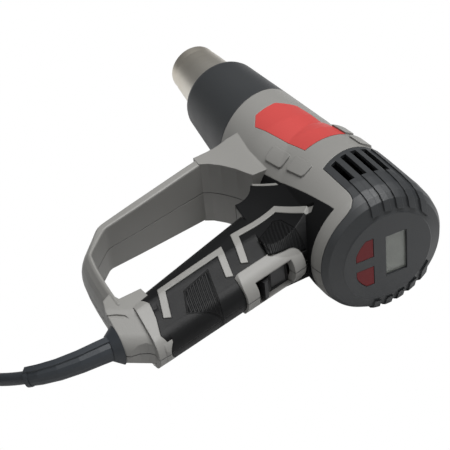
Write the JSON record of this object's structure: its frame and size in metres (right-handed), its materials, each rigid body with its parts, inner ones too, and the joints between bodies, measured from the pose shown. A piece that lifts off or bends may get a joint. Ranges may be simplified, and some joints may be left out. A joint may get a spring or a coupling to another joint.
{
  "type": "heat gun",
  "caption": "Hot-air gun with a steel nozzle, black nose sleeve, soft grip, rocker switch, closed hand guard, rear control panel and supply cord.",
  "frame": {"origin": "centre line of the barrel, on the flat rear face that the gun stands on", "axes": "+X along the barrel towards the nozzle, +Y towards the handle's end, +Z towards the gun's left side, up as it lies"},
  "size_m": [0.2575, 0.3856, 0.0862],
  "materials": {
    "housing_grey": "fine matt moulded grain",
    "grip_black": "soft matt moulded rubber",
    "cap_black": "fine matt moulded grain",
    "nozzle_steel": "rolled sheet, lightly brushed round",
    "plate_red": "satin, bare",
    "window": "clear, slightly smoky",
    "display": "satin",
    "key_red": "satin, translucent dark red",
    "inner_plastic": "moulded",
    "board": "lacquered",
    "screw_steel": "zinc plated",
    "motor_metal": "plated",
    "heater_ceramic": "unglazed",
    "mica": "pressed mica sheet",
    "heater_wire": "oxidised resistance wire",
    "switch_black": "satin",
    "cord_rubber": "matt",
    "pin_brass": "nickel plated brass"
  },
  "bodies": {
    "gun": {"housing_left": "housing_grey", "housing_right": "housing_grey", "grip_left": "grip_black", "grip_right": "grip_black", "rear_cap": "cap_black", "nose_sleeve": "cap_black", "nozzle_tube": "nozzle_steel", "badge_plate": "plate_red", "display_window": "window", "display_module": "display", "key_switches": "inner_plastic", "control_board": "board", "board_screws": "screw_steel", "motor_can": "motor_metal", "motor_mount": "inner_plastic", "motor_screws": "screw_steel", "fan_duct": "inner_plastic", "air_guide": "inner_plastic", "heater_tube_liner": "mica", "heater_core": "heater_ceramic", "heating_coils": "heater_wire", "heater_end_plate": "mica", "thermocouple": "screw_steel", "switch_body": "switch_black", "power_board": "board", "suppression_capacitor": "inner_plastic", "terminal_block": "inner_plastic", "triac": "inner_plastic", "cable_clamp": "inner_plastic", "clamp_screws": "screw_steel", "cord_lead": "cord_rubber", "housing_screws": "screw_steel", "bend_protector": "cord_rubber", "power_cord": "cord_rubber", "cord_coil": "cord_rubber", "mains_plug": "cord_rubber", "plug_pins": "pin_brass"},
    "rotor": {"motor_shaft": "screw_steel", "fan_impeller": "inner_plastic"},
    "rocker": {"switch_rocker": "switch_black"},
    "upper_key": {"key_up": "key_red"},
    "lower_key": {"key_down": "key_red"}
  },
  "joints": [
    {"name": "fan_spin", "type": "hinge", "parent": "gun", "child": "rotor", "pos_m": [0.08, 0, 0], "axis": [1, 0, 0], "continuous": true},
    {"name": "switch_rock", "type": "hinge", "parent": "gun", "child": "rocker", "pos_m": [0.02205, 0.06524, 0], "axis": [0, 0, -1], "range_deg": [0, 18]},
    {"name": "upper_key_press", "type": "slide", "parent": "gun", "child": "upper_key", "axis": [1, 0, 0], "range_m": [0, 0.0005], "stiffness_N_per_m": 1500},
    {"name": "lower_key_press", "type": "slide", "parent": "gun", "child": "lower_key", "axis": [1, 0, 0], "range_m": [0, 0.0005], "stiffness_N_per_m": 1500}
  ]
}
